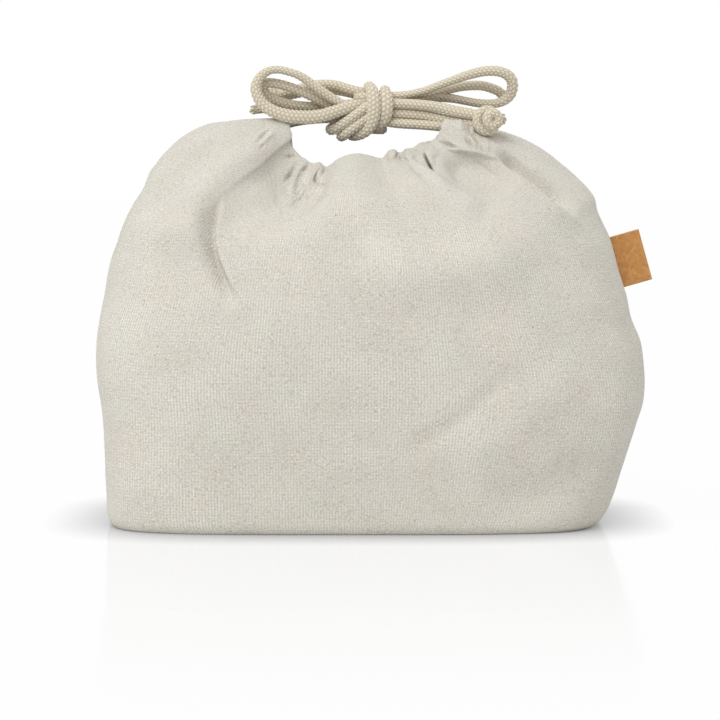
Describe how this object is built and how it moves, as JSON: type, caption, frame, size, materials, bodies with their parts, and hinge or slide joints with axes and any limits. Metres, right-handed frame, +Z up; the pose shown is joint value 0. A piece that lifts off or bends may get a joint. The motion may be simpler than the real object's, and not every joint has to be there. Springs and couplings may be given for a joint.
{
  "type": "bento bag",
  "caption": "Drawstring bento bag in natural canvas with a flat base, gathered casings, braided cords tied in a double bow over the mouth and a folded cork label in the side seam.",
  "frame": {"origin": "middle of the underside of the base, on the plane of the side seams", "axes": "+Z up, +X to the right seen from the front, front panel towards -Y"},
  "size_m": [0.2364, 0.1266, 0.1929],
  "materials": {
    "canvas": "natural cotton canvas, plain weave",
    "tape": "cotton seam binding",
    "cord": "braided cotton cord",
    "cork": "cork sheet, folded and sewn"
  },
  "bodies": {
    "bag": {"front_panel": "canvas", "back_panel": "canvas", "base_panel": "canvas", "left_seam_tape": "tape", "right_seam_tape": "tape", "left_casing": "canvas", "right_casing": "canvas", "left_cord_in_casing": "cord", "right_cord_in_casing": "cord", "left_lead_front": "cord", "left_lead_back": "cord", "right_lead_front": "cord", "right_lead_back": "cord"},
    "bow": {"bow_knot": "cord"},
    "left_loop": {"left_loop_outer": "cord", "left_loop_inner": "cord"},
    "right_loop": {"right_loop_outer": "cord", "right_loop_inner": "cord"},
    "left_tail": {"left_tail_upper": "cord", "left_tail_lower": "cord", "left_stopper_knot": "cord"},
    "right_tail": {"right_tail_front": "cord", "right_tail_back": "cord", "right_stopper_knot": "cord"},
    "label": {"cork_label": "cork"}
  },
  "joints": [
    {"name": "bow_lift", "type": "slide", "parent": "bag", "child": "bow", "axis": [0, 0, 1], "range_m": [0, 0.012], "deforming": ["left_lead_front", "left_lead_back", "right_lead_front", "right_lead_back"]},
    {"name": "left_loop_swing", "type": "hinge", "parent": "bow", "child": "left_loop", "pos_m": [0.002, -0.003, 0.175], "axis": [0, 0, 1], "range_deg": [0, 35], "deforming": ["left_loop_outer", "left_loop_inner"]},
    {"name": "right_loop_swing", "type": "hinge", "parent": "bow", "child": "right_loop", "pos_m": [0.011, 0.003, 0.178], "axis": [0, 0, 1], "range_deg": [0, 35], "deforming": ["right_loop_outer", "right_loop_inner"]},
    {"name": "left_tail_swing", "type": "hinge", "parent": "bow", "child": "left_tail", "pos_m": [0.002, 0.003, 0.18], "axis": [0, 0, 1], "range_deg": [-30, 0], "deforming": ["left_tail_upper", "left_tail_lower"]},
    {"name": "right_tail_swing", "type": "hinge", "parent": "bow", "child": "right_tail", "pos_m": [0.011, -0.004, 0.176], "axis": [0, 0, 1], "range_deg": [-30, 0], "deforming": ["right_tail_front", "right_tail_back"]},
    {"name": "label_flap", "type": "hinge", "parent": "bag", "child": "label", "pos_m": [0.11076, 0, 0.1091], "axis": [-0.2711, 0, 0.9626], "range_deg": [-70, 70], "stiffness_Nm_per_rad": 0.0002}
  ]
}
